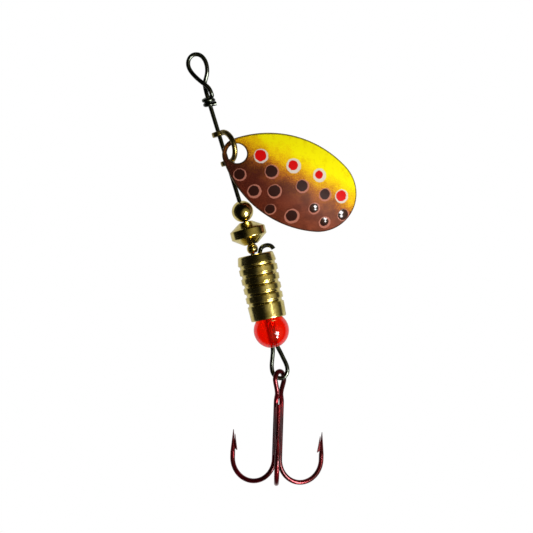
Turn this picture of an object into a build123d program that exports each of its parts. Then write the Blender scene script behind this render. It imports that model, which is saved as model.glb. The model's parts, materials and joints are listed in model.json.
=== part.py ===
"""Inline spinner: a wire shaft that carries a clevis and blade, brass beads, a ridged brass
body and a red tail bead, with a treble hook on its lower loop. It lies flat on a table.

Millimetres. The origin is the middle of the line eye, +Y runs along the upper shaft towards
the line, +Z is up. The centre-line of the shaft lies in the plane Z = 0.
"""
import os
from math import cos, degrees, pi, radians, sin, sqrt

from build123d import *

# ---- Driving dimensions ----------------------------------------------------------------
WIRE_D = 0.8  # spring-steel shaft wire
WIRE_GAP = 0.04  # air between neighbouring turns of the wire
RUNNING = 0.07  # radial clearance of what turns on the wire

KINK_Y = -30.6  # the shaft bends here, under the ball
KINK_DEG = 5.0  # between the upper shaft and the axis of the body
KINK_R = 40.0  # the bend is gentle
TWIN_OFFSET = 0.43  # shaft and tail lie this far each side of the body's axis
LOOP_END = -29.22  # bottom of the loop that carries the treble, below the kink

EYE_CROSS_Y = -3.5  # the eye's two legs cross here
WRAP_TOP_Y = -6.05  # the closing wraps start here, at the right of the shaft
WRAP_TURNS = 1.9

CLEVIS_Y = -15.92
CLEVIS_HALF = 2.79  # each ear sits this far from the clevis's middle
CLEVIS_REACH = 3.85  # from the shaft to the far side of the bow's centre-line
CLEVIS_D = 0.98
CLEVIS_TILT_DEG = 57.0  # the bow leans up from the table by this much
EAR_R = 1.3
EAR_T = 0.95
EAR_ROOT = 0.3  # the bow's wire ends this far past the shaft

BLADE_TIP = 2.55  # from the hole's centre to the near end
BLADE_END = 24.46  # from the hole's centre to the far end
BLADE_SIDE_R = 20.3  # radius of the long side arcs
BLADE_HALF_W = 8.04
BLADE_WIDEST = 12.6  # the blade is widest this far from the hole
BLADE_CROWN = 2.8  # height of the dome over its rim
BLADE_T = 0.55
BLADE_HOLE_R = 1.8
BLADE_AT = (2.05, -17.62, 1.74)  # the hole's centre, level with the rim
BLADE_PLAN_DEG = -42.6  # heading of the long axis, seen from above
BLADE_PITCH_DEG = 11.0  # the far end lies lower
BLADE_ROLL_DEG = 0.0  # about the long axis

BALL_R = 2.0
BALL_Y = -28.15
BICONE_R = 3.3
BICONE_BAND = 1.5
BICONE_UP = 1.35  # height of the upper cone
BICONE_DOWN = 1.45  # height of the lower cone
BICONE_TOP_R = 1.2
BICONE_FOOT_R = 1.25
BICONE_BORE_R = 0.53
BICONE_SINK_R = 0.98  # the foot is countersunk; the spacer bead seats in it
BICONE_SINK = 0.5
BICONE_TILT_DEG = 2.5  # it leans a little on the bend of the shaft
BICONE_AT = -1.67  # its middle, measured from the kink along the lower shaft
SPACER_R = 1.04
SPACER_AT = -4.7  # likewise
SPACER_BORE_R = 0.6

BODY_TOP = -5.79  # below the kink
BODY_LENGTH = 12.22
BODY_HEAD_R = 3.3  # at the top face
BODY_R = 3.62  # at the upper ridges
BODY_LOW_R = 3.42  # at the lowest ridge
BODY_FOOT_R = 3.3  # at the bottom face
BODY_BORE_R = 1.12
BODY_SINK_R = 1.8  # the bore is countersunk at the top, where the tail turns out
BODY_COLLAR = 1.7  # plain collar at the top
BODY_SKIRT = 2.8  # plain collar at the bottom
BODY_GROOVES = 5
GROOVE_R = 0.36  # the grooves are round-bottomed
GROOVE_DEPTH = 0.34
BODY_EDGE = 0.25  # rounding of the body's ends
CUP_CLEAR = 0.12  # air between the tail bead and the cup it sits in

TAIL_BEAD_R = 3.28
TAIL_BEAD_AT = -20.17
TAIL_BEAD_BORE_R = 0.9

HOOK_D = 0.9
HOOK_AT = (-0.38, -29.30, 0.08)  # the treble eye's centre in the frame of the body
HOOK_EYE_R = 1.42  # centre-line radius of the treble's eye
HOOK_EYE_TURN_DEG = 55.0  # the eye's plane, about the shank
HOOK_BEND_AT = 14.75  # from the eye's centre to the bend's centre
HOOK_BEND_R = 4.27
HOOK_POINT = 5.1  # how far the point stands in front of the bend's centre
HOOK_TAPER = 4.1  # length of the ground point
HOOK_TIP_R = 0.06
BARB_AT = 1.3  # the barb's root, in front of the bend's centre
BARB_LENGTH = 3.0
BARB_RISE = 0.42
BARB_T = 0.3
BARB_CUT = 0.35  # depth of the undercut at the barb's root
BARB_SUNK = 0.12  # the barb's plate reaches this far into the wire
HOOK_SWING_DEG = 13.9  # the treble hangs off to the left of the body's axis
HOOK_PITCH_DEG = 2.5  # its bends lie higher than its eye
SHANK_GAP = 0.07  # air between the three shanks, filled by the braze
LEGS_CLOSE = 4.4  # the eye's two legs meet this far from its centre
RING_START_DEG = -20  # the round part of the eye ends this far past its widest place
LEG_SPREAD = 0.6  # the legs' distance from the shank's axis where they start to open
LEG_TURN = 1.7  # and how far in front of the closing place that is
BRAZE_R = 0.74
BRAZE_START = 0.8  # the braze starts this far behind the closing place
BRAZE_SHORT = 1.5  # and stops so much short of the bends
BRAZE_AIR = 0.003  # film of air left round each shank
SINGLE_START = 0.3  # the third shank starts this far behind the closing place

# ---- Worked out ------------------------------------------------------------------------
WIRE_R = WIRE_D / 2
THROUGH = 5 * BODY_LENGTH  # longer than any hole
HOOK_R = HOOK_D / 2
SHANK_OFFSET = (HOOK_D + SHANK_GAP) / sqrt(3)
SINGLE_AZIMUTH = 90
PAIR_AZIMUTHS = (205, 335)

# The body's frame: origin on the body's axis level with the kink, +Y up that axis.
KINK = radians(KINK_DEG)
BODY_PLANE = Plane(
    origin=(TWIN_OFFSET * cos(KINK), KINK_Y - TWIN_OFFSET * sin(KINK), 0),
    x_dir=(cos(KINK), -sin(KINK), 0),
    z_dir=(0, 0, 1),
)
# The treble's frame: origin at the middle of its eye, +Y forward along the shank, +Z up.
TREBLE_TURN = Rot(Z=-HOOK_SWING_DEG) * Rot(X=-HOOK_PITCH_DEG)
TREBLE_PLACE = BODY_PLANE.location * Location(HOOK_AT) * TREBLE_TURN


def in_body(x, y, z=0.0):
    """A point of the body's frame, in the part's frame."""
    return BODY_PLANE.from_local_coords(Vector(x, y, z))


def along_y(y=0.0, x=0.0):
    """Turns a piece made along Z so that it stands along Y, at height y."""
    return Location((x, y, 0)) * Rot(X=-90)


def wire_along(edges, diameter):
    """A round wire with the given centre-line."""
    path = Wire(edges)
    start = Plane(origin=path @ 0, z_dir=path % 0)
    return sweep(start * Circle(diameter / 2), path=path)


def ring_profile(outline):
    """A turned piece about Z from its closed outline of (radius, height)."""
    face = make_face(Polyline(*[(r, 0, h) for r, h in outline], close=True))
    return revolve(face, Axis.Z)


# ---- The shaft wire --------------------------------------------------------------------
def tail_hook():
    """The tail's end, hooked over the rim of the body; it runs down into the bore."""
    top = BODY_TOP
    points = [
        in_body(3.52, top + 0.26),
        in_body(3.22, top + 0.84),
        in_body(2.62, top + 1.16),
        in_body(1.95, top + 1.16),
        in_body(1.33, top + 0.88),
        in_body(1.0, top + 0.34),
        in_body(0.79, top - 0.26),
        in_body(0.57, top - 0.86),
        in_body(TWIN_OFFSET, top - 1.6),
    ]
    down = in_body(0, -1) - in_body(0, 0)
    return Spline(*points, tangents=[in_body(-0.3, 1) - in_body(0, 0), down])


def lower_loop():
    """The teardrop that carries the treble, from the tail's side round to the shaft's."""
    points = [
        in_body(TWIN_OFFSET, -22.95),
        in_body(0.64, -23.9),
        in_body(1.15, -25.9),
        in_body(1.42, -27.2),
        in_body(1.14, -28.55),
        in_body(0.03, LOOP_END),
        in_body(-1.12, -28.55),
        in_body(-1.38, -27.1),
        in_body(-0.98, -25.5),
        in_body(-0.56, -24.1),
        in_body(-TWIN_OFFSET, -23.0),
    ]
    down = in_body(0, -1) - in_body(0, 0)
    return Spline(*points, tangents=[down, down * -1])


def line_eye():
    """The teardrop eye with its crossed legs, and the wraps that close it."""
    over = (WIRE_D + WIRE_GAP) / 2 + 0.02  # half the height of the crossing
    points = [
        Vector(0, WRAP_TOP_Y, 0),
        Vector(0.06, EYE_CROSS_Y - 1.0, -0.22),
        Vector(0.28, EYE_CROSS_Y + 0.15, -over),
        Vector(1.02, -2.1, -0.25),
        Vector(1.5, -0.75, -0.02),
        Vector(1.5, 0.65, 0),
        Vector(0.85, 1.85, 0),
        Vector(-0.3, 2.2, 0),
        Vector(-1.3, 1.6, 0),
        Vector(-1.72, 0.45, 0),
        Vector(-1.42, -1.0, 0.1),
        Vector(-0.7, -2.4, 0.3),
        Vector(0.12, EYE_CROSS_Y - 0.1, over + 0.03),
        Vector(0.72, -4.6, 0.44),
    ]
    steps_per_turn = 12
    radius = WIRE_D + WIRE_GAP  # each wrap drops by as much as it stands off the shaft
    last = int(steps_per_turn * WRAP_TURNS)
    for step in range(last + 1):
        angle = -2 * pi * step / steps_per_turn
        drop = radius * step / steps_per_turn
        points.append(Vector(radius * cos(angle), WRAP_TOP_Y - drop, radius * sin(angle)))
    end = points[-1]
    points.append(Vector(end.X + 0.75, end.Y - 0.06, end.Z - 0.06))
    return Spline(*points, tangents=[(0, 1, 0), (1, -0.05, -0.3)])


def shaft_wire():
    half = KINK_R * sin(KINK / 2) / cos(KINK / 2)  # from the kink to each end of the bend
    low = in_body(-TWIN_OFFSET, -half)
    high = Vector(0, KINK_Y + half, 0)
    hook, loop, eye = tail_hook(), lower_loop(), line_eye()
    bend = TangentArc(low, high, tangent=in_body(0, 1) - in_body(0, 0))
    edges = [
        hook,
        Line(hook @ 1, loop @ 0),
        loop,
        Line(loop @ 1, low),
        bend,
        Line(high, eye @ 0),
        eye,
    ]
    return wire_along(edges, WIRE_D)


# ---- Clevis and blade ------------------------------------------------------------------
CLEVIS_TILT = radians(CLEVIS_TILT_DEG)
CLEVIS_PLANE = Plane(
    origin=(0, CLEVIS_Y, 0),
    x_dir=(cos(CLEVIS_TILT), 0, sin(CLEVIS_TILT)),
    z_dir=(-sin(CLEVIS_TILT), 0, cos(CLEVIS_TILT)),
)


def clevis():
    """A bow of round wire whose flattened ends are pierced for the shaft."""
    def at(x, y):
        return CLEVIS_PLANE.from_local_coords(Vector(x, y, 0))
    straight = CLEVIS_REACH - CLEVIS_HALF
    edges = [
        Line(at(EAR_ROOT, CLEVIS_HALF), at(straight, CLEVIS_HALF)),
        ThreePointArc(at(straight, CLEVIS_HALF), at(CLEVIS_REACH, 0), at(straight, -CLEVIS_HALF)),
        Line(at(straight, -CLEVIS_HALF), at(EAR_ROOT, -CLEVIS_HALF)),
    ]
    bow = wire_along(edges, CLEVIS_D)
    for side in (1, -1):
        bow += along_y(CLEVIS_Y + side * CLEVIS_HALF) * Cylinder(EAR_R, EAR_T)
    return bow - along_y(CLEVIS_Y) * Cylinder(WIRE_R + RUNNING, THROUGH)


def blade_outline():
    """Egg outline of four tangent arcs, the hole's centre at the origin, +X to the far end."""
    drop = BLADE_SIDE_R - BLADE_HALF_W
    side_centre = Vector(BLADE_WIDEST, -drop)

    def end_arc(reach):
        """Radius of the end arc that reaches this far from the widest place."""
        return (BLADE_SIDE_R**2 - drop**2 - reach**2) / (2 * (BLADE_SIDE_R - reach))

    near_r = end_arc(BLADE_WIDEST + BLADE_TIP)
    far_r = end_arc(BLADE_END - BLADE_WIDEST)
    near_centre = Vector(near_r - BLADE_TIP, 0)
    far_centre = Vector(BLADE_END - far_r, 0)
    near_join = side_centre + (near_centre - side_centre).normalized() * BLADE_SIDE_R
    far_join = side_centre + (far_centre - side_centre).normalized() * BLADE_SIDE_R
    side = Vector(BLADE_WIDEST, BLADE_HALF_W)
    mirrored = [Vector(p.X, -p.Y) for p in (near_join, side, far_join)]
    arcs = [
        ThreePointArc(near_join, side, far_join),
        ThreePointArc(far_join, Vector(BLADE_END, 0), mirrored[2]),
        ThreePointArc(mirrored[2], mirrored[1], mirrored[0]),
        ThreePointArc(mirrored[0], Vector(-BLADE_TIP, 0), near_join),
    ]
    return make_face(arcs)


def blade():
    """A domed sheet-brass blade, hollow side down."""
    half_length = (BLADE_END + BLADE_TIP) / 2
    middle = BLADE_END - half_length
    long_r = (half_length**2 + BLADE_CROWN**2) / (2 * BLADE_CROWN)
    cross_r = (BLADE_HALF_W**2 + BLADE_CROWN**2) / (2 * BLADE_CROWN)
    place = Location((middle, 0, BLADE_CROWN - long_r)) * Rot(X=90)
    upper = Torus(long_r - cross_r, cross_r)
    lower = Torus(long_r - cross_r, cross_r - BLADE_T)
    blank = Plane.XY.offset(-BLADE_CROWN) * blade_outline()
    flat = place * (upper - lower) & extrude(blank, 3 * BLADE_CROWN)
    lean = degrees(middle / long_r)
    flat -= Rot(Y=-lean) * Cylinder(BLADE_HOLE_R, 4 * BLADE_CROWN)
    turn = Rot(Z=BLADE_PLAN_DEG) * Rot(Y=BLADE_PITCH_DEG) * Rot(X=BLADE_ROLL_DEG)
    return Location(BLADE_AT) * turn * flat


# ---- Beads and body --------------------------------------------------------------------
def bead(radius, bore):
    """A ball with a hole along Z."""
    return Sphere(radius) - Cylinder(bore, THROUGH)


def ball_bead():
    return along_y(BALL_Y) * bead(BALL_R, WIRE_R + RUNNING)


def bicone_place():
    """The bicone's own frame, +Y up its axis; the spacer bead lies on that axis too."""
    return BODY_PLANE.location * Location((-TWIN_OFFSET, BICONE_AT, 0)) * Rot(Z=BICONE_TILT_DEG)


def bicone_bead():
    half = BICONE_BAND / 2
    outline = [
        (BICONE_BORE_R, half + BICONE_UP),
        (BICONE_TOP_R, half + BICONE_UP),
        (BICONE_R, half),
        (BICONE_R, -half),
        (BICONE_FOOT_R, -half - BICONE_DOWN),
        (BICONE_SINK_R, -half - BICONE_DOWN),
        (BICONE_SINK_R, -half - BICONE_DOWN + BICONE_SINK),
        (BICONE_BORE_R, -half - BICONE_DOWN + BICONE_SINK),
    ]
    return bicone_place() * along_y() * ring_profile(outline)


def spacer_bead():
    return bicone_place() * along_y(SPACER_AT - BICONE_AT) * bead(SPACER_R, SPACER_BORE_R)


def body():
    """A turned body: plain collars and, between them, rounded ridges parted by grooves."""
    top = BODY_LENGTH / 2
    first = top - BODY_COLLAR
    last = -top + BODY_SKIRT
    wall = Polyline(
        (0, 0, -top),
        (BODY_FOOT_R, 0, -top),
        (BODY_LOW_R, 0, last),
        (BODY_R, 0, first),
        (BODY_HEAD_R, 0, top),
        (0, 0, top),
        close=True,
    )
    outer = revolve(make_face(wall), Axis.Z)
    circles = outer.edges().filter_by(GeomType.CIRCLE).sort_by(Axis.Z)
    outer = fillet([circles[0], circles[-1]], BODY_EDGE)
    pitch = (first - last - 2 * GROOVE_R) / (BODY_GROOVES - 1)
    for groove in range(BODY_GROOVES):
        level = first - GROOVE_R - groove * pitch
        share = (first - level) / (first - last)
        wall_r = BODY_R + (BODY_LOW_R - BODY_R) * share
        outer -= Location((0, 0, level)) * Torus(wall_r + GROOVE_R - GROOVE_DEPTH, GROOVE_R)
    outer -= Cylinder(BODY_BORE_R, THROUGH)
    sink = BODY_SINK_R - BODY_BORE_R
    outer -= Location((0, 0, top - sink / 2)) * Cone(BODY_BORE_R, BODY_SINK_R, sink)
    centre = BODY_TOP - top
    cup = Location((0, 0, TAIL_BEAD_AT - centre)) * Sphere(TAIL_BEAD_R + CUP_CLEAR)
    return BODY_PLANE.location * along_y(centre) * (outer - cup)


def tail_bead():
    return BODY_PLANE.location * along_y(TAIL_BEAD_AT) * bead(TAIL_BEAD_R, TAIL_BEAD_BORE_R)


# ---- Treble hook -----------------------------------------------------------------------
def outward(azimuth, reach, y):
    """A point of the treble's frame at a distance from its axis."""
    return Vector(reach * cos(radians(azimuth)), y, reach * sin(radians(azimuth)))


def hook_bend(azimuth, reverse=False):
    """Centre-line of one hook from the root of its point round to its shank, or back."""
    far = SHANK_OFFSET + 2 * HOOK_BEND_R
    root = outward(azimuth, far, -HOOK_BEND_AT + HOOK_POINT - HOOK_TAPER)
    side = outward(azimuth, far, -HOOK_BEND_AT)
    bottom = outward(azimuth, SHANK_OFFSET + HOOK_BEND_R, -HOOK_BEND_AT - HOOK_BEND_R)
    shank = outward(azimuth, SHANK_OFFSET, -HOOK_BEND_AT)
    if reverse:
        return [ThreePointArc(shank, bottom, side), Line(side, root)]
    return [Line(root, side), ThreePointArc(side, bottom, shank)]


def hook_point(azimuth):
    """The ground point and the barb cut up on its inner side."""
    far = SHANK_OFFSET + 2 * HOOK_BEND_R
    root_y = -HOOK_BEND_AT + HOOK_POINT - HOOK_TAPER
    middle = outward(azimuth, far, root_y + HOOK_TAPER / 2)
    point = Location(middle) * Rot(X=-90) * Cone(HOOK_R, HOOK_TIP_R, HOOK_TAPER)
    base = -HOOK_BEND_AT + BARB_AT
    corners = [
        (far - HOOK_R + BARB_SUNK, base + BARB_LENGTH),
        (far - HOOK_R - BARB_RISE, base),
        (far - HOOK_R + BARB_SUNK, base + BARB_CUT),
    ]
    across = outward(azimuth + 90, 1, 0)
    plate = Plane(origin=(0, 0, 0), x_dir=outward(azimuth, 1, 0), z_dir=across)
    barb = extrude(plate * make_face(Polyline(*corners, close=True)), BARB_T / 2, both=True)
    return point, barb


def double_hook():
    """Two of the three hooks and the eye, bent from one wire."""
    left, right = PAIR_AZIMUTHS
    turn = 180 - HOOK_EYE_TURN_DEG
    low = radians(RING_START_DEG)
    ends = [outward(turn, side * HOOK_EYE_R * cos(low), HOOK_EYE_R * sin(low)) for side in (1, -1)]
    ring = ThreePointArc(ends[0], outward(turn, 0, HOOK_EYE_R), ends[1])
    spread = -LEGS_CLOSE + LEG_TURN
    up = Spline(
        outward(left, SHANK_OFFSET, -LEGS_CLOSE),
        outward(turn, LEG_SPREAD, spread),
        ends[0],
        tangents=[(0, 1, 0), ring % 0],
    )
    down = Spline(
        ends[1],
        outward(turn, -LEG_SPREAD, spread),
        outward(right, SHANK_OFFSET, -LEGS_CLOSE),
        tangents=[ring % 1, (0, -1, 0)],
    )
    first = hook_bend(left)
    second = hook_bend(right, reverse=True)
    shanks = Line(first[-1] @ 1, up @ 0), Line(down @ 1, second[0] @ 0)
    edges = [*first, shanks[0], up, ring, down, shanks[1], *second]
    wire = wire_along(edges, HOOK_D)
    for azimuth in PAIR_AZIMUTHS:
        point, barb = hook_point(azimuth)
        wire = wire + point + barb
    return TREBLE_PLACE * wire


def single_hook():
    bend = hook_bend(SINGLE_AZIMUTH)
    start = outward(SINGLE_AZIMUTH, SHANK_OFFSET, -LEGS_CLOSE - SINGLE_START)
    wire = wire_along(bend + [Line(bend[1] @ 1, start)], HOOK_D)
    point, barb = hook_point(SINGLE_AZIMUTH)
    return TREBLE_PLACE * (wire + point + barb)


def braze():
    """The braze metal between the three shanks."""
    length = HOOK_BEND_AT - LEGS_CLOSE - BRAZE_SHORT
    seam = Cylinder(BRAZE_R, length)
    for azimuth in (SINGLE_AZIMUTH, *PAIR_AZIMUTHS):
        shank = outward(azimuth, SHANK_OFFSET, 0)
        seam -= Location((shank.X, -shank.Z, 0)) * Cylinder(HOOK_R + BRAZE_AIR, 2 * length)
    return TREBLE_PLACE * along_y(-LEGS_CLOSE - BRAZE_START - length / 2) * seam


PIECES = {
    "shaft_wire": shaft_wire,
    "clevis": clevis,
    "blade": blade,
    "ball_bead": ball_bead,
    "bicone_bead": bicone_bead,
    "spacer_bead": spacer_bead,
    "body": body,
    "tail_bead": tail_bead,
    "double_hook": double_hook,
    "single_hook": single_hook,
    "braze": braze,
}

if __name__ == "__main__":
    os.makedirs("parts", exist_ok=True)
    for name, make in PIECES.items():
        export_step(make(), f"parts/{name}.step")
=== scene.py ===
import json
import math

import bmesh
import bpy
from mathutils import Euler, Matrix, Vector


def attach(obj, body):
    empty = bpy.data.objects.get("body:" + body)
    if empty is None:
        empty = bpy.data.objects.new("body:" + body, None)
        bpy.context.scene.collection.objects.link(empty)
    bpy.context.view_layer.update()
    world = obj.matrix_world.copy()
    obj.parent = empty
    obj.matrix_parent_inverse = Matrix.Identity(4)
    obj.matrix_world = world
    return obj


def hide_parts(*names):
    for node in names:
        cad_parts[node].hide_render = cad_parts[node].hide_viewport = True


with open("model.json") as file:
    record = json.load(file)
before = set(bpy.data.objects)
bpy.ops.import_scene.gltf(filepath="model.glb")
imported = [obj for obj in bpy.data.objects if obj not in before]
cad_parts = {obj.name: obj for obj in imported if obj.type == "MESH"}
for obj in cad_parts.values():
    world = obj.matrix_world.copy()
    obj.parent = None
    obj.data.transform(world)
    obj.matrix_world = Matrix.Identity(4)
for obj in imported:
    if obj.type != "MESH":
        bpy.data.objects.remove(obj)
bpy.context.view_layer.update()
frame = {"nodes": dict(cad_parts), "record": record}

mm = 0.001
cadObjects = {name: bpy.data.objects[name] for name in frame["nodes"]}
joints = {joint["name"]: joint for joint in frame["record"]["behaviour"]["joints"]}


def paint(red, green, blue):
    # an 8-bit display colour as a linear shader colour
    def linear(value):
        value /= 255
        return value / 12.92 if value <= 0.04045 else ((value + 0.055) / 1.055) ** 2.4
    return (linear(red), linear(green), linear(blue), 1)


class Finish:
    # one node material; every call adds a node and hands back the socket that the next one takes
    def __init__(self, name):
        self.material = bpy.data.materials.new(name)
        self.material.use_nodes = True
        self.tree = self.material.node_tree
        self.shader = self.tree.nodes["Principled BSDF"]
        self.output = self.tree.nodes["Material Output"]

    def put(self, socket, value):
        if isinstance(value, bpy.types.NodeSocket):
            self.tree.links.new(value, socket)
        else:
            socket.default_value = value

    def add(self, kind, inputs, output=0, **settings):
        node = self.tree.nodes.new("ShaderNode" + kind)
        for name, value in settings.items():
            setattr(node, name, value)
        for name, value in inputs.items():
            self.put(node.inputs[name], value)
        return node.outputs[output]

    def coords(self, origin=(0, 0, 0), turn=(0, 0, 0)):
        # millimetres in a piece's own axes
        place = self.add("TexCoord", {}, "Object")
        return self.add("Mapping", {
            "Vector": place, "Location": origin, "Rotation": turn, "Scale": (mm, mm, mm),
        }, vector_type="TEXTURE")

    def stretch(self, coords, scale):
        return self.add("Mapping", {"Vector": coords, "Scale": scale}, vector_type="POINT")

    def split(self, coords):
        node = self.tree.nodes.new("ShaderNodeSeparateXYZ")
        self.put(node.inputs[0], coords)
        return node.outputs[0], node.outputs[1], node.outputs[2]

    def maths(self, operation, *values, clamp=False):
        inputs = dict(enumerate(values))
        return self.add("Math", inputs, operation=operation, use_clamp=clamp)

    def plus(self, first, second):
        return self.maths("ADD", first, second)

    def times(self, first, second):
        return self.maths("MULTIPLY", first, second)

    def across(self, first, second):
        # the length of a flat vector
        return self.maths("SQRT", self.plus(self.times(first, first), self.times(second, second)))

    def noise(self, coords, scale, detail=3.0, roughness=0.55, distortion=0.0):
        return self.add("TexNoise", {
            "Vector": coords, "Scale": scale, "Detail": detail, "Roughness": roughness,
            "Distortion": distortion,
        })

    def ramp(self, factor, *stops, smooth=False):
        # stops are (place, colour or grey)
        node = self.tree.nodes.new("ShaderNodeValToRGB")
        self.put(node.inputs[0], factor)
        band = node.color_ramp
        band.interpolation = "EASE" if smooth else "LINEAR"
        while len(band.elements) < len(stops):
            band.elements.new(0.5)
        for element, (place, colour) in zip(band.elements, stops):
            element.position = place
            element.color = colour if isinstance(colour, tuple) else (colour, colour, colour, 1)
        return node.outputs[0]

    def span(self, value, low, high, toLow=0.0, toHigh=1.0, smooth=False):
        return self.add("MapRange", {
            "Value": value, "From Min": low, "From Max": high, "To Min": toLow, "To Max": toHigh,
        }, interpolation_type="SMOOTHSTEP" if smooth else "LINEAR")

    def mix(self, factor, first, second, blend="MIX"):
        node = self.tree.nodes.new("ShaderNodeMix")
        node.data_type = "RGBA"
        node.blend_type = blend
        self.put(node.inputs[0], factor)
        self.put(node.inputs[6], first)
        self.put(node.inputs[7], second)
        return node.outputs[2]

    def relief(self, height, distance, strength=1.0, under=None):
        inputs = {"Height": height, "Distance": distance, "Strength": strength}
        if under is not None:
            inputs["Normal"] = under
        return self.add("Bump", inputs)

    def done(self, **values):
        # names are the shader's sockets without spaces
        sockets = {socket.name.replace(" ", "").lower(): socket for socket in self.shader.inputs}
        for name, value in values.items():
            self.put(sockets[name.lower()], value)
        return self.material


def jointTurn(joint):
    # turns +Z onto the joint's axis, the same way round for every turned piece
    return Vector(joint["axis"]).to_track_quat("Z", "X").to_matrix().to_4x4()


def jointPlace(joint):
    return Matrix.Translation(joint["pos_m"]) @ jointTurn(joint)


def finishPiece(name, mesh, material, body, slot, *nodes):
    piece = bpy.data.objects.new(name, mesh)
    bpy.context.scene.collection.objects.link(piece)
    mesh.materials.clear()
    mesh.materials.append(material)
    for face in mesh.polygons:
        face.use_smooth = True
    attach(piece, body)
    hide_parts(*nodes)
    return piece


def easeCorner(before, corner, after, radius, steps=5):
    # a rounded corner between two straight runs of a turned outline
    a = Vector(before) - Vector(corner)
    b = Vector(after) - Vector(corner)
    reach = min(radius, 0.45 * a.length, 0.45 * b.length)
    start = Vector(corner) + a.normalized() * reach
    end = Vector(corner) + b.normalized() * reach
    points = []
    for step in range(steps + 1):
        t = step / steps
        points.append((1 - t) ** 2 * start + 2 * t * (1 - t) * Vector(corner) + t ** 2 * end)
    return points


def easeOutline(outline):
    # outline: closed list of (radius, height, edge rounding), in mm
    points = []
    for index, (radius, height, edge) in enumerate(outline):
        before = outline[index - 1][:2]
        after = outline[(index + 1) % len(outline)][:2]
        if edge > 0:
            points += easeCorner(before, (radius, height), after, edge)
        else:
            points.append(Vector((radius, height)))
    return points


def ballOutline(radius, bore, edge, steps=40):
    # a drilled ball, the bore's rim slightly broken
    rim = math.asin((bore + edge) / radius)
    points = []
    for step in range(steps + 1):
        angle = rim + (math.pi - 2 * rim) * step / steps
        points.append(Vector((radius * math.sin(angle), radius * math.cos(angle))))
    top = math.cos(rim) * radius
    inner = [Vector((bore + 0.3 * edge, -top + 0.25 * edge)), Vector((bore, -top + edge))]
    inner += [Vector((bore, top - edge)), Vector((bore + 0.3 * edge, top - 0.25 * edge))]
    return points + inner


def refine(points, longest):
    # extra rows on long runs, so that a pattern or a modifier has something to work on
    finer = []
    for index, point in enumerate(points):
        nextPoint = points[(index + 1) % len(points)]
        pieces = max(1, math.ceil((nextPoint - point).length / longest))
        finer += [point.lerp(nextPoint, k / pieces) for k in range(pieces)]
    return finer


def turnedMesh(name, points, around):
    # revolves a closed outline of (radius, height) about Z; outlines run down the outside
    shape = bmesh.new()
    rings = []
    for step in range(around):
        angle = 2 * math.pi * step / around
        ring = [shape.verts.new((p.x * math.cos(angle) * mm, p.x * math.sin(angle) * mm, p.y * mm))
                for p in points]
        rings.append(ring)
    count = len(points)
    for step in range(around):
        here, beyond = rings[step], rings[(step + 1) % around]
        for k in range(count):
            m = (k + 1) % count
            shape.faces.new((here[k], here[m], beyond[m], beyond[k]))
    bmesh.ops.recalc_face_normals(shape, faces=shape.faces)
    mesh = bpy.data.meshes.new(name)
    shape.to_mesh(mesh)
    shape.free()
    return mesh


brassFinish = {
    "polished": paint(232, 216, 142),
    "deep": paint(196, 176, 92),
    "tarnish": paint(92, 74, 30),
    "ringShade": paint(150, 126, 60),
    "roughness": 0.19,
}


def turnedBrass(name, joint, lineScale=9.0, tarnish=0.5, roughness=None):
    # lathe rings run round the axis; tarnish gathers in soft patches and fine freckles
    finish = Finish(name)
    place = jointPlace(joint)
    coords = finish.coords(place.translation, place.to_euler())
    x, y, z = finish.split(coords)
    radius = finish.across(x, y)
    along = finish.add("CombineXYZ", {"X": radius, "Y": 0.0, "Z": z})
    lines = finish.noise(finish.stretch(along, (1.6, 1, 1)), lineScale, 4, 0.7)
    hairs = finish.noise(finish.stretch(coords, (0.7, 0.7, 12)), 2.4, 3, 0.6)
    cloud = finish.noise(coords, 0.55, 4, 0.6, 0.6)
    freckle = finish.noise(coords, 5.5, 2, 0.6)
    patches = finish.ramp(cloud, (0.36, 0.0), (0.68, 1.0))
    tone = finish.mix(patches, brassFinish["polished"], brassFinish["deep"])
    freckles = finish.ramp(freckle, (0.6, 0.0), (0.72, 1.0))
    dirt = finish.times(freckles, finish.ramp(cloud, (0.42, 0.15), (0.7, 1.0)))
    dirt = finish.times(dirt, tarnish)
    tone = finish.mix(dirt, tone, brassFinish["tarnish"])
    ringShade = finish.times(finish.span(lines, 0.35, 0.7), 0.22)
    tone = finish.mix(ringShade, tone, brassFinish["ringShade"], "MULTIPLY")
    base = roughness or brassFinish["roughness"]
    rough = finish.span(hairs, 0.3, 0.75, base - 0.03, base + 0.09)
    rough = finish.plus(rough, finish.times(dirt, 0.25))
    height = finish.plus(finish.times(lines, 0.7), finish.times(hairs, 0.3))
    bump = finish.relief(height, 0.010 * mm, 0.8)
    bump = finish.relief(finish.noise(coords, 1.3, 2), 0.030 * mm, 0.35, bump)
    return finish.done(basecolor=tone, metallic=1.0, roughness=rough, normal=bump)


wireFinish = {"oily": paint(92, 98, 88), "black": paint(58, 60, 56), "bareSteel": paint(150, 150, 138)}


def blackWire(name):
    # black-nickelled spring wire: drawn marks, oily blue-green tint, bare steel freckles
    finish = Finish(name)
    coords = finish.coords()
    drawn = finish.noise(finish.stretch(coords, (6, 0.5, 6)), 1.6, 3, 0.65)
    cloud = finish.noise(coords, 0.8, 3, 0.6)
    grit = finish.noise(coords, 7.0, 2, 0.7)
    tone = finish.mix(finish.ramp(cloud, (0.35, 0.0), (0.65, 1.0)), wireFinish["oily"], wireFinish["black"])
    tone = finish.mix(finish.ramp(grit, (0.62, 0.0), (0.74, 0.8)), tone, wireFinish["bareSteel"])
    rough = finish.span(drawn, 0.3, 0.7, 0.14, 0.28)
    bump = finish.relief(finish.plus(drawn, finish.times(grit, 0.4)), 0.012 * mm, 0.6)
    return finish.done(basecolor=tone, metallic=1.0, roughness=rough, normal=bump)


patina = {
    "brown": paint(92, 76, 36), "worn": paint(140, 122, 66), "rubbed": paint(190, 172, 104),
    "grit": paint(70, 52, 24),
}


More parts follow.
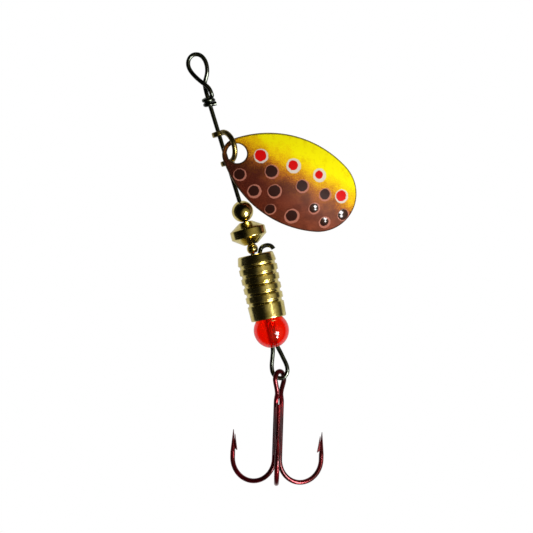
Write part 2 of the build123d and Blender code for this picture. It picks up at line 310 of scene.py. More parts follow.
def clevisBrass(name):
    # drawn brass wire, browned all over and rubbed bright here and there
    finish = Finish(name)
    coords = finish.coords()
    cloud = finish.noise(coords, 1.1, 4, 0.62, 0.5)
    grit = finish.noise(coords, 6.0, 3, 0.65)
    tone = finish.ramp(cloud, (0.3, patina["brown"]), (0.52, patina["worn"]), (0.72, patina["rubbed"]))
    tone = finish.mix(finish.ramp(grit, (0.55, 0.0), (0.7, 0.75)), tone, patina["grit"])
    rough = finish.span(grit, 0.3, 0.7, 0.2, 0.38)
    bump = finish.relief(finish.plus(cloud, grit), 0.018 * mm, 0.6)
    return finish.done(basecolor=tone, metallic=1.0, roughness=rough, normal=bump)


lacquer = {
    "grain": paint(40, 3, 9), "metallic": 0.7, "relief": 0.0018, "coat": 0.3, "coatRoughness": 0.08,
}


def candyLacquer(name, thin=0.0):
    # red lacquer dipped over steel: pools darker, thins to brighter red, a few dust nibs
    finish = Finish(name)
    coords = finish.coords()
    pool = finish.noise(coords, 0.32, 3, 0.55, 0.4)
    grain = finish.noise(coords, 3.4, 4, 0.7)
    nibs = finish.noise(coords, 8.0, 1, 0.5)
    middle = paint(88 + 30 * thin, 5, 15)
    bright = paint(132 + 30 * thin, 10 + 16 * thin, 28)
    tone = finish.ramp(pool, (0.34, paint(52, 3, 8)), (0.54, middle), (0.74, bright))
    tone = finish.mix(finish.ramp(grain, (0.56, 0.0), (0.8, 0.22)), tone, lacquer["grain"])
    rough = finish.span(grain, 0.3, 0.7, 0.2, 0.26)
    dust = finish.times(finish.ramp(nibs, (0.66, 0.0), (0.78, 1.0)), 0.8)
    bump = finish.relief(finish.plus(grain, dust), lacquer["relief"] * mm, 0.5)
    return finish.done(
        basecolor=tone, metallic=lacquer["metallic"], roughness=rough, normal=bump,
        coatweight=lacquer["coat"], coatroughness=lacquer["coatRoughness"])


# the glow colour and power give the bead a faint painted glow, standing in for its fluorescence
acrylic = {
    "red": (0.95, 0.004, 0.0, 1), "orange": (0.9, 0.012, 0.001, 1), "glow": (1.0, 0.004, 0.0, 1),
    "glowPower": 0.05, "ior": 1.49, "clear": 0.9, "shine": 0.3,
}


def redAcrylic(name, joint):
    # clear fluorescent red, tumbled, with faint scuffs round its middle; a faint painted glow stands in for
    # the fluorescence
    finish = Finish(name)
    place = jointPlace(joint)
    coords = finish.coords(place.translation, place.to_euler())
    swirl = finish.noise(coords, 0.5, 3, 0.5, 0.8)
    scuff = finish.noise(finish.stretch(coords, (1, 1, 5)), 3.2, 3, 0.7)
    tone = finish.mix(finish.ramp(swirl, (0.3, 0.0), (0.7, 1.0)), acrylic["red"], acrylic["orange"])
    rough = finish.span(scuff, 0.45, 0.8, 0.02, 0.1)
    bump = finish.relief(scuff, 0.008 * mm, 0.4)
    # the emission here is a painted glow; the bead is no lamp
    return finish.done(
        basecolor=tone, metallic=0.0, roughness=rough, normal=bump, ior=acrylic["ior"],
        transmissionweight=acrylic["clear"], speculariorlevel=acrylic["shine"],
        emissioncolor=acrylic["glow"], emissionstrength=acrylic["glowPower"])


cadObjects["shaft_wire"].data.materials.clear()
cadObjects["shaft_wire"].data.materials.append(blackWire("blackNickelWire"))
print("shaft finished")


def placed(mesh, joint, shift=0.0):
    mesh.transform(jointPlace(joint) @ Matrix.Translation((0, 0, shift * mm)))
    return mesh


ball = {"radius": 2.0, "bore": 0.47, "edge": 0.06, "around": 96}


def ballPiece():
    points = ballOutline(ball["radius"], ball["bore"], ball["edge"])
    mesh = placed(turnedMesh("ballBead", points, ball["around"]), joints["ball_spin"])
    material = turnedBrass("ballBrass", joints["ball_spin"], 11, 0.35, 0.13)
    return finishPiece("ballBead", mesh, material, "ball", "ball_bead", "ball_bead")


bicone = {
    "radius": 3.3, "band": 1.5, "upperCone": 1.35, "lowerCone": 1.45, "top": 1.2, "foot": 1.25,
    "bore": 0.53, "sink": 0.98, "sinkDepth": 0.5, "edge": 0.12, "around": 128,
}


def biconePiece():
    half = bicone["band"] / 2
    edge = bicone["edge"]
    foot = -half - bicone["lowerCone"]
    outline = [
        (bicone["top"], half + bicone["upperCone"], edge),
        (bicone["radius"], half, edge),
        (bicone["radius"], -half, edge),
        (bicone["foot"], foot, edge),
        (bicone["sink"], foot, 0.05),
        (bicone["sink"], foot + bicone["sinkDepth"], 0),
        (bicone["bore"], foot + bicone["sinkDepth"], 0.05),
        (bicone["bore"], half + bicone["upperCone"], 0.05),
    ]
    points = refine(easeOutline(outline), 0.35)
    mesh = placed(turnedMesh("biconeBead", points, bicone["around"]), joints["bicone_spin"])
    material = turnedBrass("biconeBrass", joints["bicone_spin"], 8, 0.5, 0.15)
    return finishPiece("biconeBead", mesh, material, "bicone", "bicone_bead", "bicone_bead")


spacer = {"radius": 1.04, "bore": 0.6, "edge": 0.05, "around": 64, "below": -3.03}


def spacerPiece():
    points = ballOutline(spacer["radius"], spacer["bore"], spacer["edge"], 24)
    mesh = placed(turnedMesh("spacerBead", points, spacer["around"]), joints["bicone_spin"], spacer["below"])
    material = turnedBrass("spacerBrass", joints["bicone_spin"], 11, 0.8, 0.2)
    return finishPiece("spacerBead", mesh, material, "bicone", "spacer_bead", "spacer_bead")


tailBead = {"radius": 3.28, "bore": 0.9, "edge": 0.1, "around": 128}


def tailBeadPiece():
    points = ballOutline(tailBead["radius"], tailBead["bore"], tailBead["edge"], 48)
    mesh = placed(turnedMesh("tailBead", points, tailBead["around"]), joints["tail_bead_spin"])
    material = redAcrylic("redAcrylic", joints["tail_bead_spin"])
    return finishPiece("tailBead", mesh, material, "tail_bead", "tail_bead", "tail_bead")


# the body is a plain turned sleeve, and a node tree presses the grooves into it
sleeve = {
    "length": 12.22, "head": 3.3, "wall": 3.62, "lowWall": 3.42, "foot": 3.3, "bore": 1.12,
    "sink": 1.8, "collar": 1.7, "skirt": 2.8, "edge": 0.34, "around": 192, "row": 0.06,
    "grooves": 5, "grooveRadius": 0.36, "grooveDepth": 0.33, "soften": 0.06,
    "cup": 3.4, "cupAbove": -8.27,
}


def sleeveOutline():
    top = sleeve["length"] / 2
    sink = sleeve["sink"] - sleeve["bore"]
    # the cup is part of a sphere round the tail bead
    centre = sleeve["cupAbove"]
    rimAngle = math.acos((-top - centre) / sleeve["cup"])
    rim = sleeve["cup"] * math.sin(rimAngle)
    boreAngle = math.asin(sleeve["bore"] / sleeve["cup"])
    outline = [
        (sleeve["head"], top, sleeve["edge"]),
        (sleeve["wall"], top - sleeve["collar"], 0.5),
        (sleeve["lowWall"], -top + sleeve["skirt"], 0.5),
        (sleeve["foot"], -top, sleeve["edge"]),
        (rim, -top, 0.05),
    ]
    steps = 14
    for step in range(1, steps):
        angle = rimAngle + (boreAngle - rimAngle) * step / steps
        outline.append((sleeve["cup"] * math.sin(angle), centre + sleeve["cup"] * math.cos(angle), 0))
    outline += [
        (sleeve["bore"], centre + sleeve["cup"] * math.cos(boreAngle), 0.05),
        (sleeve["bore"], top - sink, 0.1),
        (sleeve["sink"], top, 0.1),
    ]
    return refine(easeOutline(outline), sleeve["row"])


def grooveTree(material):
    # each point of the outer wall moves inwards to the round bottom of the groove nearest to it
    tree = bpy.data.node_groups.new("pressGrooves", "GeometryNodeTree")
    face = tree.interface
    face.new_socket("Geometry", in_out="INPUT", socket_type="NodeSocketGeometry")
    for name in (
        "First Groove", "Pitch", "Count", "Groove Radius", "Depth", "Top Wall", "Wall Slope", "Soften",
    ):
        face.new_socket(name, in_out="INPUT", socket_type="NodeSocketFloat")
    face.new_socket("Geometry", in_out="OUTPUT", socket_type="NodeSocketGeometry")
    nodes, links = tree.nodes, tree.links
    inside = nodes.new("NodeGroupInput")
    outside = nodes.new("NodeGroupOutput")

    def put(socket, value):
        if isinstance(value, bpy.types.NodeSocket):
            links.new(value, socket)
        else:
            socket.default_value = value

    def maths(operation, *values):
        node = nodes.new("ShaderNodeMath")
        node.operation = operation
        for index, value in enumerate(values):
            put(node.inputs[index], value)
        return node.outputs[0]

    given = {socket.name: socket for socket in inside.outputs}
    position = nodes.new("GeometryNodeInputPosition").outputs[0]
    parts = nodes.new("ShaderNodeSeparateXYZ")
    links.new(position, parts.inputs[0])
    x, y, z = parts.outputs
    radius = maths("SQRT", maths("ADD", maths("MULTIPLY", x, x), maths("MULTIPLY", y, y)))
    below = maths("SUBTRACT", given["First Groove"], z)
    nearest = maths("ROUND", maths("DIVIDE", below, given["Pitch"]))
    nearest = maths("MAXIMUM", maths("MINIMUM", nearest, maths("SUBTRACT", given["Count"], 1.0)), 0.0)
    away = maths("ABSOLUTE", maths("SUBTRACT", below, maths("MULTIPLY", nearest, given["Pitch"])))
    # the wall's own radius at that groove, then the height of the groove's round bottom
    along = maths("MULTIPLY", nearest, given["Pitch"])
    wall = maths("SUBTRACT", given["Top Wall"], maths("MULTIPLY", along, given["Wall Slope"]))
    centre = maths("SUBTRACT", maths("ADD", wall, given["Groove Radius"]), given["Depth"])
    square = maths("MULTIPLY", given["Groove Radius"], given["Groove Radius"])
    drop = maths("SUBTRACT", square, maths("MULTIPLY", away, away))
    bottom = maths("SUBTRACT", centre, maths("SQRT", maths("MAXIMUM", drop, 0.0)))
    pressed = maths("SMOOTH_MIN", radius, bottom, given["Soften"])
    ratio = maths("DIVIDE", pressed, maths("MAXIMUM", radius, 0.0001))
    onWall = maths("GREATER_THAN", radius, maths("MULTIPLY", given["Top Wall"], 0.88))
    near = maths("LESS_THAN", away, maths("ADD", given["Groove Radius"], given["Soften"]))
    joined = nodes.new("ShaderNodeCombineXYZ")
    put(joined.inputs[0], maths("MULTIPLY", x, ratio))
    put(joined.inputs[1], maths("MULTIPLY", y, ratio))
    put(joined.inputs[2], z)
    press = nodes.new("GeometryNodeSetPosition")
    put(press.inputs["Geometry"], given["Geometry"])
    put(press.inputs["Selection"], maths("MULTIPLY", onWall, near))
    put(press.inputs["Position"], joined.outputs[0])
    realize = nodes.new("GeometryNodeRealizeInstances")
    links.new(press.outputs[0], realize.inputs[0])
    colour = nodes.new("GeometryNodeSetMaterial")
    links.new(realize.outputs[0], colour.inputs["Geometry"])
    colour.inputs["Material"].default_value = material
    links.new(colour.outputs[0], outside.inputs[0])
    return tree


def runTree(name, mesh, tree, values):
    # runs a node tree once and keeps the plain mesh that it makes
    holder = bpy.data.objects.new(name + "Holder", mesh)
    bpy.context.scene.collection.objects.link(holder)
    modifier = holder.modifiers.new(name, "NODES")
    modifier.node_group = tree
    sockets = {item.name: item.identifier for item in tree.interface.items_tree if item.in_out == "INPUT"}
    for label, value in values.items():
        modifier[sockets[label]] = value
    settled = holder.evaluated_get(bpy.context.evaluated_depsgraph_get())
    result = bpy.data.meshes.new_from_object(settled)
    result.name = name
    holder.modifiers.remove(modifier)
    bpy.data.objects.remove(holder)
    return result


def bodyPiece():
    top = sleeve["length"] / 2
    first = top - sleeve["collar"] - sleeve["grooveRadius"]
    last = -top + sleeve["skirt"] + sleeve["grooveRadius"]
    pitch = (first - last) / (sleeve["grooves"] - 1)
    wallRun = sleeve["length"] - sleeve["collar"] - sleeve["skirt"]
    material = turnedBrass("bodyBrass", joints["body_spin"], 7, 0.5)
    plain = turnedMesh("plainSleeve", sleeveOutline(), sleeve["around"])
    mesh = runTree("ridgedBody", plain, grooveTree(material), {
        "First Groove": first * mm, "Pitch": pitch * mm, "Count": float(sleeve["grooves"]),
        "Groove Radius": sleeve["grooveRadius"] * mm, "Depth": sleeve["grooveDepth"] * mm,
        "Top Wall": sleeve["wall"] * mm, "Wall Slope": (sleeve["wall"] - sleeve["lowWall"]) / wallRun,
        "Soften": sleeve["soften"] * mm,
    })
    placed(mesh, joints["body_spin"])
    return finishPiece("ridgedBody", mesh, material, "body", "body", "body")


# the clevis is a bow of round wire whose ends are flattened and pierced
clevis = {
    "half": 2.79, "reach": 3.85, "wire": 0.98, "tilt": 57.0, "root": 0.66,
    "ear": 1.3, "earThickness": 0.95, "bore": 0.47, "edge": 0.22, "around": 40,
}


def sweptTube(shape, path, radius, around):
    # a round wire along a path that lies in the XY plane, closed at both ends
    rings = []
    for index, point in enumerate(path):
        ahead = path[min(index + 1, len(path) - 1)] - path[max(index - 1, 0)]
        side = Vector((-ahead.y, ahead.x, 0)).normalized()
        ring = []
        for step in range(around):
            angle = 2 * math.pi * step / around
            outward = side * math.cos(angle) + Vector((0, 0, math.sin(angle)))
            ring.append(shape.verts.new(point + outward * radius))
        rings.append(ring)
    for here, beyond in zip(rings, rings[1:]):
        for k in range(around):
            m = (k + 1) % around
            shape.faces.new((here[k], here[m], beyond[m], beyond[k]))
    shape.faces.new(rings[0])
    shape.faces.new(list(reversed(rings[-1])))


def clevisPiece():
    straight = clevis["reach"] - clevis["half"]
    root, legSteps, bowSteps = clevis["root"], 6, 48
    leg = [root + (straight - root) * k / legSteps for k in range(legSteps)]
    path = [Vector((reach, clevis["half"], 0)) for reach in leg]
    for step in range(bowSteps + 1):
        angle = math.pi / 2 - math.pi * step / bowSteps
        bow = Vector((math.cos(angle), math.sin(angle), 0)) * clevis["half"]
        path.append(Vector((straight, 0, 0)) + bow)
    path += [Vector((p.x, -p.y, 0)) for p in reversed(path[:legSteps])]
    shape = bmesh.new()
    sweptTube(shape, [p * mm for p in path], clevis["wire"] / 2 * mm, clevis["around"])
    half, edge = clevis["earThickness"] / 2, clevis["edge"]
    outline = easeOutline([
        (clevis["ear"], half, edge), (clevis["ear"], -half, edge),
        (clevis["bore"], -half, 0.06), (clevis["bore"], half, 0.06)])
    for side in (1, -1):
        ear = turnedMesh("ear", refine(outline, 0.12), 72)
        upright = Matrix.Rotation(math.radians(-90), 4, "X")
        ear.transform(Matrix.Translation((0, side * clevis["half"] * mm, 0)) @ upright)
        shape.from_mesh(ear)
        bpy.data.meshes.remove(ear)
    bmesh.ops.recalc_face_normals(shape, faces=shape.faces)
    mesh = bpy.data.meshes.new("clevisBow")
    shape.to_mesh(mesh)
    shape.free()
    middle = Vector(joints["clevis_spin"]["pos_m"])
    mesh.transform(Matrix.Translation(middle) @ Matrix.Rotation(math.radians(-clevis["tilt"]), 4, "Y"))
    return finishPiece("clevisBow", mesh, clevisBrass("brownedBrassWire"), "clevis", "clevis", "clevis")


clevisPiece()
print("clevis made")
ballPiece()
biconePiece()
spacerPiece()
bodyPiece()
tailBeadPiece()
print("turned pieces made")


blade = {
    "tip": 2.55, "end": 24.46, "sideRadius": 20.3, "halfWidth": 8.04, "widest": 12.6,
    "crown": 2.8, "thickness": 0.55, "hole": 1.8, "at": (2.05, -17.62, 1.74),
    "plan": -42.6, "pitch": 11.0, "edge": 0.2, "wornStrip": 0.6, "around": 360, "rows": 90,
}
bladeHalf = (blade["tip"] + blade["end"]) / 2
bladeMiddle = blade["end"] - bladeHalf
bladeLong = (bladeHalf ** 2 + blade["crown"] ** 2) / (2 * blade["crown"])
bladeCross = (blade["halfWidth"] ** 2 + blade["crown"] ** 2) / (2 * blade["crown"])
bladeOrigin = Vector(blade["at"]) * mm
bladeTurn = Euler((0, math.radians(blade["pitch"]), math.radians(blade["plan"])))


def bladeHeight(x, y, depth=0.0):
    # the dome is part of a torus; depth goes down through the sheet
    cross = bladeCross - depth
    ring = math.sqrt(max(cross ** 2 - y ** 2, 0)) + bladeLong - bladeCross
    return blade["crown"] - bladeLong + math.sqrt(max(ring ** 2 - (x - bladeMiddle) ** 2, 0))


def outlineArcs():
    # centres and radii of the blade's four tangent arcs: near end, far end, and the two sides
    drop = blade["sideRadius"] - blade["halfWidth"]

    def endRadius(reach):
        return (blade["sideRadius"] ** 2 - drop ** 2 - reach ** 2) / (2 * (blade["sideRadius"] - reach))

    near = endRadius(blade["widest"] + blade["tip"])
    far = endRadius(blade["end"] - blade["widest"])
    return near, Vector((near - blade["tip"], 0)), far, Vector((blade["end"] - far, 0)), drop


def insideOutline(point):
    # signed distance inwards from the rim
    near, nearCentre, far, farCentre, drop = outlineArcs()
    side = Vector((blade["widest"], -drop))
    p = Vector((point.x, abs(point.y)))
    best = blade["sideRadius"] - (p - side).length
    toNear, toFar = nearCentre - side, farCentre - side
    if p.x < nearCentre.x and (p - side).cross(toNear) < 0:
        best = near - (p - nearCentre).length
    elif p.x > farCentre.x and (p - side).cross(toFar) > 0:
        best = far - (p - farCentre).length
    return best


def rimPoint(angle):
    # where a ray from the hole's centre meets the rim
    direction = Vector((math.cos(angle), math.sin(angle)))
    low, high = 0.5, blade["end"] + 1
    for _ in range(40):
        middle = (low + high) / 2
        if insideOutline(direction * middle) > 0:
            low = middle
        else:
            high = middle
    return direction * low


def bladeMesh():
    shape = bmesh.new()
    rimLayer = shape.verts.layers.float.new("rim")
    edge, thick = blade["edge"], blade["thickness"]
    # one closed strip per ray: hole edge, top skin out to the rim, rim edge, and back underneath
    edgeSteps = 4
    columns = []
    for k in range(blade["around"]):
        # rays crowd a little towards the far end, which is longer
        angle = 2 * math.pi * k / blade["around"]
        angle -= 0.55 * math.sin(angle)
        rim = rimPoint(angle)
        start = rim.normalized() * blade["hole"]
        inward = edge / rim.length
        strip = []
        for row in range(blade["rows"] + 1):
            t = row / blade["rows"]
            p = start.lerp(rim, inward + (1 - 2 * inward) * t)
            strip.append((p, 0.0))
        for step in range(1, edgeSteps):
            turn = math.pi / 2 * step / edgeSteps
            p = rim * (1 - inward + inward * math.sin(turn))
            strip.append((p, edge * (1 - math.cos(turn))))
        strip.append((rim, edge))
        strip.append((rim, thick - edge * 0.6))
        strip.append((rim * (1 - 0.3 * inward), thick - edge * 0.18))
        for row in range(blade["rows"], -1, -3):
            t = row / blade["rows"]
            strip.append((start.lerp(rim, inward + (1 - 2 * inward) * t), thick))
        hole = rim.normalized()
        strip.append((hole * (blade["hole"] + 0.3 * edge), thick - edge * 0.2))
        strip.append((hole * blade["hole"], thick - edge * 0.7))
        strip.append((hole * blade["hole"], edge * 0.7))
        strip.append((hole * (blade["hole"] + 0.3 * edge), edge * 0.2))
        columns.append(strip)
    place = Matrix.Translation(bladeOrigin) @ bladeTurn.to_matrix().to_4x4()
    grid = []
    for strip in columns:
        line = []
        for p, depth in strip:
            point = shape.verts.new(place @ (Vector((p.x, p.y, bladeHeight(p.x, p.y, depth))) * mm))
            # 1 at a cut edge, fading to 0 over the strip inside it, which is darkened both as worn paint and
            # as painted shade
            inset = min(insideOutline(p), p.length - blade["hole"])
            point[rimLayer] = 1 - min(max(inset, 0) / blade["wornStrip"], 1)
            line.append(point)
        grid.append(line)
    count = len(grid[0])
    for k in range(len(grid)):
        here, beyond = grid[k], grid[(k + 1) % len(grid)]
        for row in range(count):
            m = (row + 1) % count
            shape.faces.new((here[row], here[m], beyond[m], beyond[row]))
    bmesh.ops.recalc_face_normals(shape, faces=shape.faces)
    mesh = bpy.data.meshes.new("spottedBlade")
    shape.to_mesh(mesh)
    shape.free()
    return mesh


# spots: along the blade and across it (positive towards the brown side), outer and inner radius
redSpots = [
    (4.04, -1.46, 1.31, 1.06), (10.23, -2.46, 1.39, 0.91), (15.45, -3.01, 1.28, 0.76),
    (21.12, -1.35, 1.31, 1.02),
]
darkSpots = [
    (2.14, 3.32, 1.17, 0.96), (7.03, 0.28, 1.33, 1.1), (5.85, 4.91, 1.28, 0.98), (9.14, 3.30, 1.31, 1.1),
    (13.36, 0.21, 1.28, 1.05), (18.0, -0.24, 1.24, 0.98), (10.12, 6.61, 1.05, 0.89),
    (14.30, 5.99, 1.39, 1.05), (17.3, 2.94, 1.11, 0.89), (20.46, 4.35, 1.11, 0.81),
    (23.1, 1.6, 1.18, 1.02),
]
glossySpots = darkSpots[8:]
bladePaint = {
    "lemon": paint(222, 212, 0), "gold": paint(216, 176, 0), "amber": paint(178, 112, 6),
    "cocoa": paint(122, 54, 18), "brown": paint(70, 16, 4), "deepBrown": paint(34, 8, 3),
    # this reddish colour serves both a painted sheen of the lamp's reflection and real airbrush speckle
    "haze": paint(122, 60, 38), "redSpot": paint(186, 1, 0), "redRing": paint(190, 185, 178),
    # the dark edge colour serves both worn paint and painted shade along the rim
    "darkSpot": paint(40, 13, 7), "darkRing": paint(160, 100, 84), "wornEdge": paint(44, 22, 8),
    "bareBrass": paint(200, 172, 92), "dullBrass": paint(120, 92, 44), "discShift": -0.13,
}


def spotMask(finish, along, across, spots, wobble, ring):
    # 1 inside a spot; rings and discs sit slightly off centre from each other, as when hand-stamped
    total = None
    for x, t, outer, inner in spots:
        size = outer if ring else inner
        shift = 0.0 if ring else bladePaint["discShift"]
        a = finish.maths("SUBTRACT", along, x + 0.9 * shift)
        b = finish.maths("SUBTRACT", across, t + 0.4 * shift)
        distance = finish.across(a, b)
        distance = finish.plus(distance, wobble)
        inside = finish.span(distance, size - 0.07, size + 0.07, 1.0, 0.0, smooth=True)
        total = inside if total is None else finish.maths("MAXIMUM", total, inside)
    return total


def spotDome(finish, along, across, spots):
    # a drop of paint stands highest in its middle
    total = None
    for x, t, outer, inner in spots:
        a = finish.maths("DIVIDE", finish.maths("SUBTRACT", along, x), inner)
        b = finish.maths("DIVIDE", finish.maths("SUBTRACT", across, t), inner)
        square = finish.plus(finish.times(a, a), finish.times(b, b))
        rise = finish.maths("SUBTRACT", 1.0, square, clamp=True)
        total = rise if total is None else finish.maths("MAXIMUM", total, rise)
    return total


def bladeFinish():
    finish = Finish("sprayedBlade")
    coords = finish.coords(bladeOrigin, bladeTurn)
    x, y, z = finish.split(coords)
    across = finish.times(y, -1.0)
    flat = finish.add("CombineXYZ", {"X": x, "Y": y, "Z": 0.0})
    # the fade line drifts along the blade
    drift = finish.noise(flat, 0.28, 3, 0.5)
    mist = finish.noise(flat, 5.5, 3, 0.75)
    fineMist = finish.noise(flat, 8.0, 2, 0.7)
    mottle = finish.noise(flat, 0.75, 4, 0.62, 0.7)
    fade = finish.plus(across, finish.span(drift, 0.2, 0.8, -1.3, 1.3))
    fade = finish.plus(fade, finish.span(x, 0.0, 24.0, 0.9, -0.5))
    fade = finish.plus(fade, finish.span(mist, 0.25, 0.75, -2.1, 2.1))
    fade = finish.plus(fade, finish.span(fineMist, 0.3, 0.7, -0.5, 0.5))
    level = finish.span(fade, -8.0, 6.0)
    tone = finish.ramp(
        level, (0.0, bladePaint["lemon"]), (0.25, bladePaint["lemon"]), (0.38, bladePaint["gold"]),
        (0.5, bladePaint["amber"]), (0.6, bladePaint["cocoa"]), (0.68, bladePaint["brown"]),
        (1.0, bladePaint["brown"]))
    # soft patches in the yellow, a painted reddish sheen standing in for the lamp's soft reflection in the
    # brown towards the far end, darker round the hole
    patch = finish.times(finish.ramp(mottle, (0.5, 0.0), (0.72, 1.0), smooth=True), 0.35)
    tone = finish.mix(patch, tone, bladePaint["gold"], "MULTIPLY")
    # painted sheen: the brown is lightened to red towards the far end, standing in for the lamp's soft
    # reflection on the paint
    brownSide = finish.span(fade, -0.5, 1.5, smooth=True)
    haze = finish.times(finish.span(x, 5.0, 23.0), brownSide)
    haze = finish.times(haze, finish.span(mottle, 0.3, 0.6, 0.5, 1.0))
    tone = finish.mix(haze, tone, bladePaint["haze"])
    nearHole = finish.times(finish.span(x, -1.0, 5.0, 1.0, 0.0, smooth=True), brownSide)
    tone = finish.mix(nearHole, tone, bladePaint["deepBrown"])
    # real airbrush speckle in the brown, in the same reddish colour as the painted sheen
    speck = finish.times(finish.ramp(mist, (0.48, 0.0), (0.62, 0.5)), brownSide)
    tone = finish.mix(speck, tone, bladePaint["haze"])
    shade = finish.times(finish.ramp(drift, (0.4, 0.0), (0.6, 0.35), smooth=True), brownSide)
    tone = finish.mix(shade, tone, bladePaint["deepBrown"])
    fleck = finish.ramp(fineMist, (0.5, 0.0), (0.6, 0.6))
    fleck = finish.times(fleck, finish.span(fade, 3.4, 0.4))
    tone = finish.mix(finish.times(fleck, brownSide), tone, bladePaint["amber"])
    # spots
    wobble = finish.span(finish.noise(flat, 1.8, 2), 0.2, 0.8, -0.08, 0.08)
    ragged = finish.span(mist, 0.3, 0.7, 0.75, 1.0)
    redRing = spotMask(finish, x, across, redSpots, wobble, True)
    redDisc = spotMask(finish, x, across, redSpots, wobble, False)
    darkRing = spotMask(finish, x, across, darkSpots, wobble, True)
    darkDisc = spotMask(finish, x, across, darkSpots, wobble, False)
    tone = finish.mix(finish.times(darkRing, ragged), tone, bladePaint["darkRing"])
    tone = finish.mix(darkDisc, tone, bladePaint["darkSpot"])
    tone = finish.mix(finish.times(redRing, ragged), tone, bladePaint["redRing"])
    tone = finish.mix(redDisc, tone, bladePaint["redSpot"])
    # a dark band along the cut edges and round the hole: partly worn paint, partly painted shade at the
    # sheet's edge
    rim = finish.add("Attribute", {}, "Fac", attribute_name="rim")
    rim = finish.plus(rim, finish.span(mist, 0.3, 0.7, -0.12, 0.12))
    worn = finish.span(rim, 0.35, 0.8, 0.0, 0.85, smooth=True)
    tone = finish.mix(worn, tone, bladePaint["wornEdge"])
    # paint stops at the cut edge and the hollow side, which are bare brass
    normal = finish.add("NewGeometry", {}, "Normal")
    ownNormal = finish.add(
        "VectorTransform", {"Vector": normal},
        vector_type="NORMAL", convert_from="WORLD", convert_to="OBJECT")
    facing = finish.split(ownNormal)[2]
    painted = finish.span(facing, 0.02, 0.2, smooth=True)
    brassPatches = finish.ramp(mottle, (0.4, 0.0), (0.7, 1.0))
    brassTone = finish.mix(brassPatches, bladePaint["bareBrass"], bladePaint["dullBrass"])
    tone = finish.mix(painted, brassTone, tone)
    metal = finish.span(painted, 0.0, 1.0, 1.0, 0.0)
    stamped = finish.maths("MAXIMUM", redRing, darkRing)
    waves = finish.times(finish.noise(flat, 0.5, 2), 1.2)
    height = finish.plus(waves, finish.times(mist, 0.12))
    height = finish.plus(height, finish.times(stamped, 0.12))
    bump = finish.relief(height, 0.05 * mm, 0.5)
    bump = finish.relief(spotDome(finish, x, across, glossySpots), 0.14 * mm, 1.0, bump)
    rough = finish.span(mist, 0.3, 0.7, 0.42, 0.56)
    rough = finish.plus(rough, finish.times(metal, -0.2))
    # the last spots sit on thick glossy drops of paint
    gloss = spotMask(finish, x, across, glossySpots, wobble, False)
    return finish.done(
        basecolor=tone, metallic=metal, roughness=rough, normal=bump, speculariorlevel=0.08,
        coatweight=gloss, coatroughness=0.07, coatnormal=bump)


finishPiece("spottedBlade", bladeMesh(), bladeFinish(), "blade", "blade", "blade")
print("blade made")


for node, material in (
    ("double_hook", candyLacquer("hookLacquer")),
    ("single_hook", candyLacquer("hookLacquerBright", 0.4)),
    ("braze", candyLacquer("brazeLacquer")),
):
    cadObjects[node].data.materials.clear()
    cadObjects[node].data.materials.append(material)
print("treble finished")


studio = {
    "floorLevel": -3.66, "floorSize": 3000, "floorLight": 1.0,
    "brightWithin": 17.0, "mirroredLight": 0.7, "farLight": 0.01,
    "camera": (1.26, -39.19, 428.0), "cameraTurn": -17.0, "lens": 156.3,
    "key": (0.50, -0.50, 0.71), "keySize": 150, "keyPower": 2.3,
    "glint": (0.37, -0.80, 0.47), "glintSize": 90, "glintPower": 0.8,
    "fillSize": 900, "fillPower": 0.92, "lightDistance": 420,
    "room": (1, 0.86, 0.42, 1), "roomDark": 0.002, "roomBright": 0.38,
}
aim = Vector(studio["camera"]) * mm
aim.z = 0


def floorPiece():
    half = studio["floorSize"] / 2 * mm
    level = studio["floorLevel"] * mm
    mesh = bpy.data.meshes.new("floor")
    corners = [(-half, -half, level), (half, -half, level), (half, half, level), (-half, half, level)]
    mesh.from_pydata(corners, [], [(0, 1, 2, 3)])
    finish = Finish("paleFloor")
    path = finish.tree.nodes.new("ShaderNodeLightPath")
    # a lit table top; polished metal mirrors only the part of it close by, and a little dimmer
    reach = studio["brightWithin"] * mm
    mirrored = finish.span(
        path.outputs["Ray Length"], reach * 0.8, reach * 1.3, studio["mirroredLight"], studio["farLight"])
    seen = finish.maths("SUBTRACT", 1.0, path.outputs["Is Glossy Ray"])
    strength = finish.times(path.outputs["Is Glossy Ray"], mirrored)
    strength = finish.plus(strength, finish.times(seen, studio["floorLight"]))
    glow = finish.add("Emission", {"Color": (1, 1, 1, 1), "Strength": strength})
    finish.tree.links.new(glow, finish.output.inputs[0])
    mesh.materials.append(finish.material)
    floor = bpy.data.objects.new("floor", mesh)
    bpy.context.scene.collection.objects.link(floor)


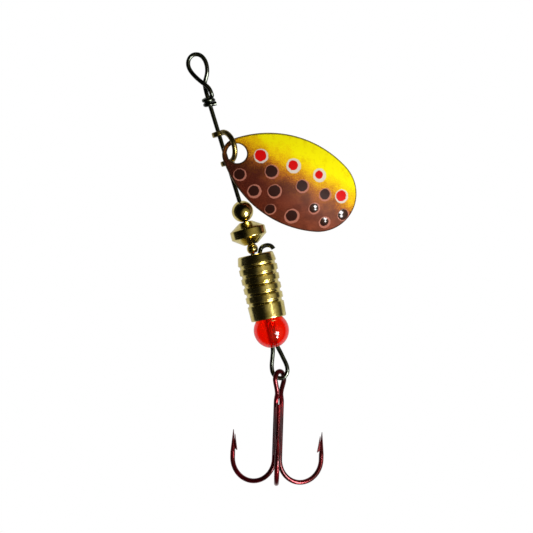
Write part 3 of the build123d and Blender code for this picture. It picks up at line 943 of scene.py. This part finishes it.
def areaLight(name, direction, size, power, glossy=True, diffuse=True):
    lamp = bpy.data.lights.new(name, "AREA")
    lamp.shape = "RECTANGLE" if glossy else "SQUARE"
    lamp.size = size * mm
    if glossy:
        lamp.size_y = size * 1.2 * mm
    lamp.energy = power
    light = bpy.data.objects.new(name, lamp)
    direction = Vector(direction).normalized()
    light.location = aim + direction * studio["lightDistance"] * mm
    light.rotation_euler = direction.to_track_quat("Z", "Y").to_euler()
    light.visible_glossy = glossy
    light.visible_diffuse = diffuse
    bpy.context.scene.collection.objects.link(light)


def darkRoom():
    world = bpy.data.worlds.new("darkRoom")
    world.use_nodes = True
    tree = world.node_tree
    background = tree.nodes["Background"]
    place = tree.nodes.new("ShaderNodeTexCoord")
    tilt = tree.nodes.new("ShaderNodeVectorMath")
    tilt.operation = "DOT_PRODUCT"
    tilt.inputs[1].default_value = Vector(studio["key"]).normalized()
    tree.links.new(place.outputs["Generated"], tilt.inputs[0])
    ramp = tree.nodes.new("ShaderNodeMapRange")
    ramp.interpolation_type = "SMOOTHERSTEP"
    ramp.inputs["From Min"].default_value = 0.5
    ramp.inputs["From Max"].default_value = 1.0
    ramp.inputs["To Min"].default_value = studio["roomDark"]
    ramp.inputs["To Max"].default_value = studio["roomBright"]
    tree.links.new(tilt.outputs["Value"], ramp.inputs["Value"])
    tree.links.new(ramp.outputs[0], background.inputs["Strength"])
    background.inputs["Color"].default_value = studio["room"]
    bpy.context.scene.world = world


def cameraPiece():
    lens = bpy.data.cameras.new("camera")
    lens.lens = studio["lens"]
    lens.sensor_width = 36
    lens.clip_start = 0.01
    camera = bpy.data.objects.new("camera", lens)
    camera.location = Vector(studio["camera"]) * mm
    camera.rotation_euler = (0, 0, math.radians(studio["cameraTurn"]))
    bpy.context.scene.collection.objects.link(camera)
    bpy.context.scene.camera = camera


floorPiece()
areaLight("keyLight", studio["key"], studio["keySize"], studio["keyPower"])
areaLight("glintLight", studio["glint"], studio["glintSize"], studio["glintPower"], diffuse=False)
areaLight("fillLight", (0.05, 0.0, 1), studio["fillSize"], studio["fillPower"], glossy=False)
darkRoom()
cameraPiece()
bpy.context.scene.view_settings.view_transform = "Standard"
print("studio set")
